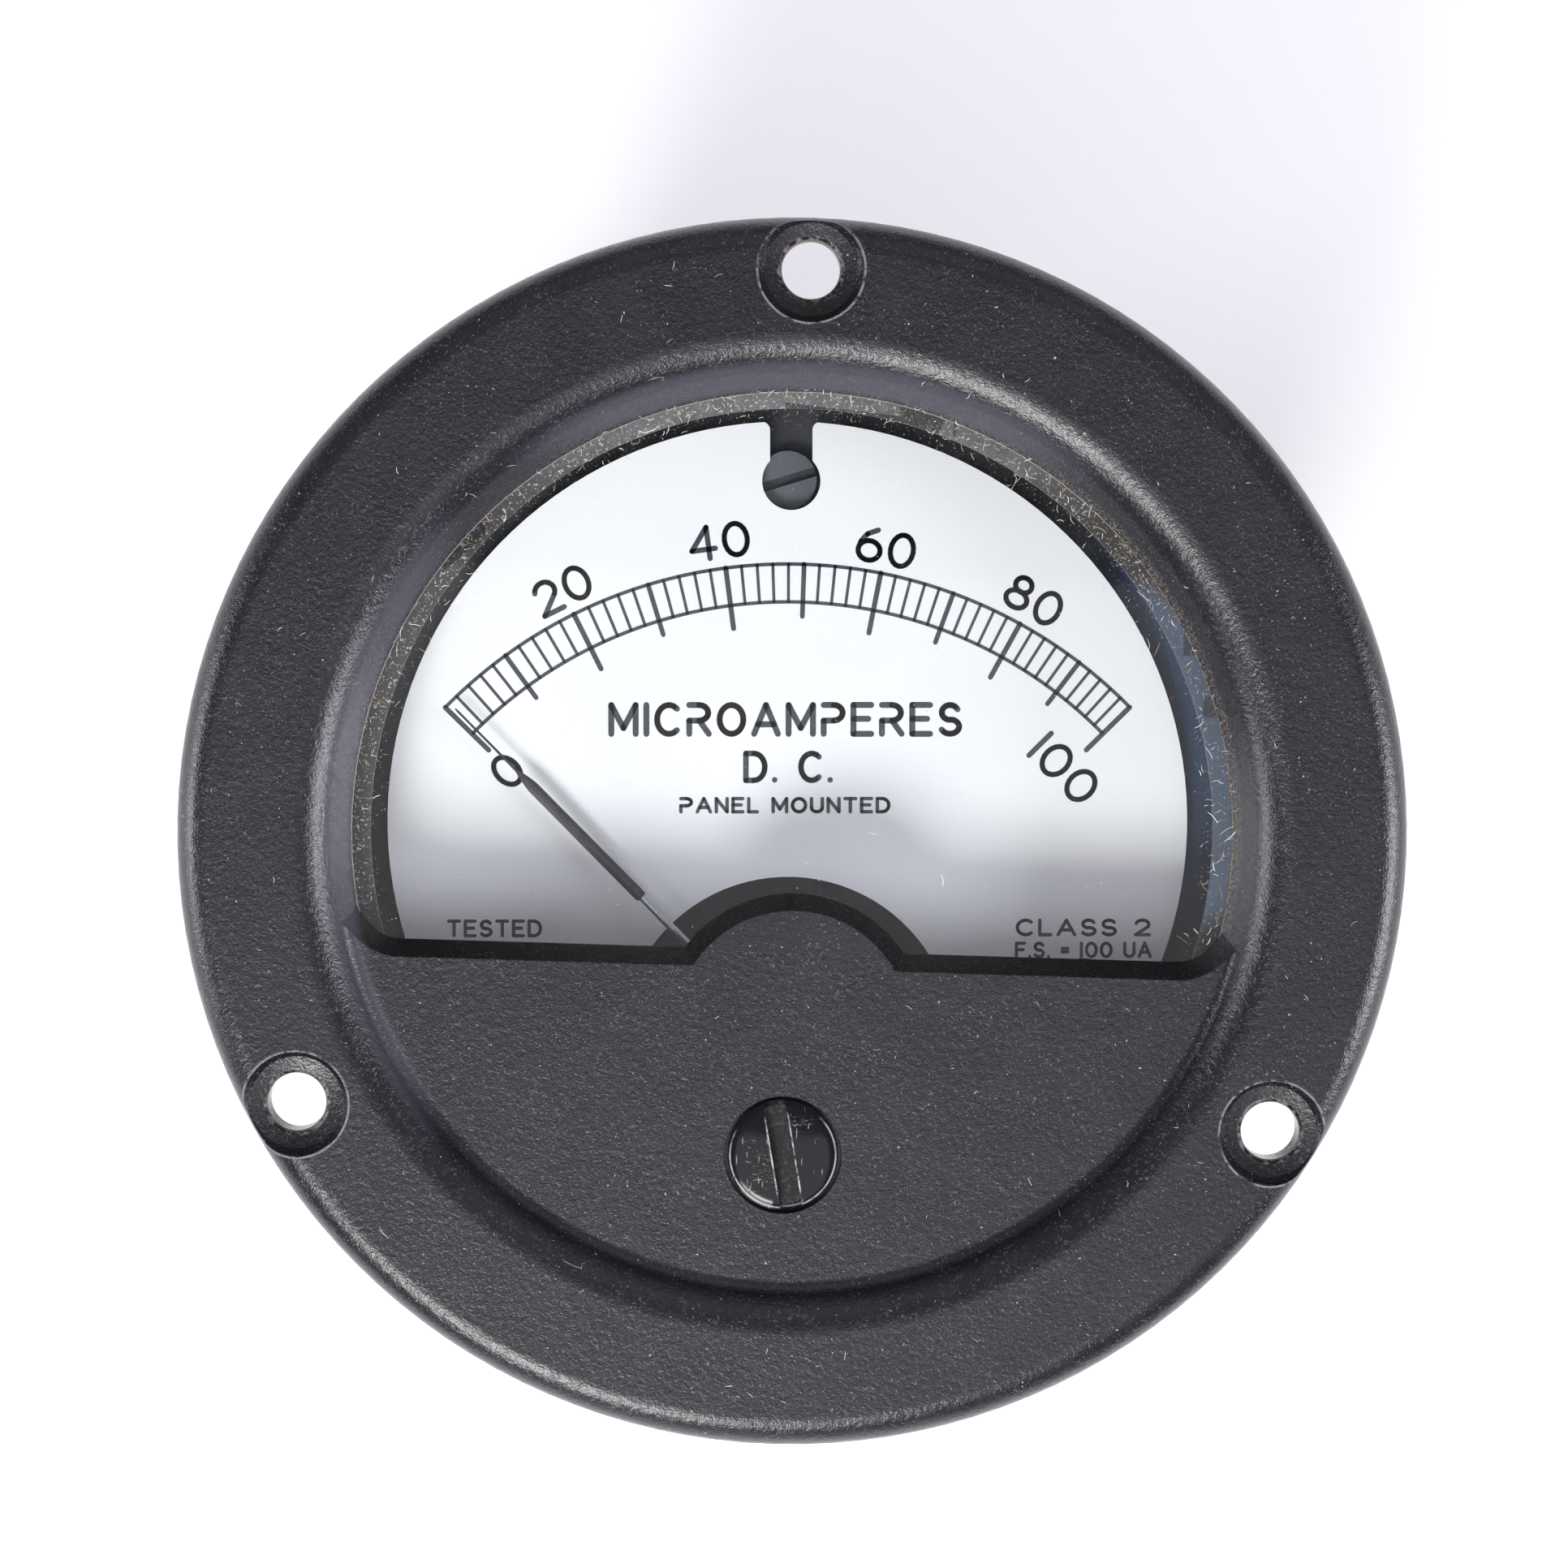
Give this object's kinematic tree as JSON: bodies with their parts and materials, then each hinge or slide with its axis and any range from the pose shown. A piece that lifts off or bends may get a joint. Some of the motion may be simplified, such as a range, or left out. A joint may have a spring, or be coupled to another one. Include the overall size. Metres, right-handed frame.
{
  "type": "panel galvanometer",
  "caption": "Round flush-mount moving-coil panel microammeter with a windowed dial, a pointer, a zero adjuster and rear stud terminals.",
  "frame": {"origin": "centre of the flange's mounting face", "axes": "+Z out of the dial, +Y up on the dial, towards the flange's single upper mounting hole"},
  "size_m": [0.0676, 0.0676, 0.0564],
  "materials": {
    "panel_paint": "satin pebbled",
    "window_glass": "polished",
    "black_rubber": "matt",
    "grey_rubber": "matt",
    "zinc_steel": "zinc plated",
    "case_paint": "semi-gloss",
    "phenolic": "satin",
    "plated_brass": "nickel plated",
    "brass": "machined",
    "blackened_steel": "blackened",
    "dial_paint": "satin white",
    "magnet_alloy": "cast and ground",
    "soft_iron": "machined",
    "jewel": "polished",
    "red_insulation": "satin",
    "black_insulation": "satin",
    "aluminium": "bare",
    "enamelled_wire": "enamelled",
    "steel": "polished",
    "pointer_paint": "matt black",
    "spring_bronze": "rolled",
    "adjuster_plastic": "polished"
  },
  "bodies": {
    "case": {"front_flange": "panel_paint", "window_glass": "window_glass", "window_gasket": "grey_rubber", "glass_retainer": "zinc_steel", "retainer_screws": "zinc_steel", "case_seal": "black_rubber", "case_can": "case_paint", "outer_insulators": "phenolic", "inner_insulators": "phenolic", "terminal_studs": "plated_brass", "solder_lugs": "zinc_steel", "clamp_nuts": "plated_brass", "flat_washers": "plated_brass", "lock_washers": "zinc_steel", "terminal_nuts": "plated_brass", "frame_lugs": "blackened_steel", "movement_frame": "blackened_steel", "frame_screws": "blackened_steel", "dial_plate": "dial_paint", "dial_pillars": "brass", "dial_screws": "zinc_steel", "magnet": "magnet_alloy", "pole_piece_left": "soft_iron", "pole_piece_right": "soft_iron", "pole_screws": "blackened_steel", "iron_core": "soft_iron", "core_bracket": "brass", "front_bridge": "brass", "bridge_pillars": "brass", "front_bridge_screws": "zinc_steel", "front_jewel_screw": "brass", "front_lock_nut": "brass", "rear_bridge": "brass", "rear_bridge_screws": "zinc_steel", "rear_jewel_screw": "brass", "rear_lock_nut": "brass", "jewels": "jewel", "rear_spring_arm": "brass", "pointer_stops": "black_rubber", "lead_positive": "red_insulation", "lead_negative": "black_insulation"},
    "moving_coil": {"coil_former": "aluminium", "coil_winding": "enamelled_wire", "front_staff": "steel", "rear_staff": "steel", "pointer": "pointer_paint", "balance_cross": "brass", "balance_weights": "zinc_steel", "front_hairspring": "spring_bronze", "rear_hairspring": "spring_bronze"},
    "zero_adjuster": {"zero_adjuster": "adjuster_plastic", "adjuster_o_ring": "black_rubber", "adjuster_clip": "steel"},
    "zero_arm": {"zero_arm": "brass"}
  },
  "joints": [
    {"name": "pointer_swing", "type": "hinge", "parent": "case", "child": "moving_coil", "pos_m": [0.0002, -0.01244, 0], "axis": [0, 0, 1], "range_deg": [-94, 3], "stiffness_Nm_per_rad": 0.000006, "deforming": ["front_hairspring", "rear_hairspring"]},
    {"name": "adjuster_turn", "type": "hinge", "parent": "case", "child": "zero_adjuster", "pos_m": [0, -0.0177, 0], "axis": [0, 0, 1], "range_deg": [-30, 30]},
    {"name": "zero_arm_turn", "type": "hinge", "parent": "case", "child": "zero_arm", "pos_m": [0.0002, -0.01244, 0], "axis": [0, 0, 1], "range_deg": [-6.5, 6.5]}
  ],
  "couplings": [
    {"joint": "zero_arm_turn", "follows": "adjuster_turn", "ratio": -0.20643}
  ]
}
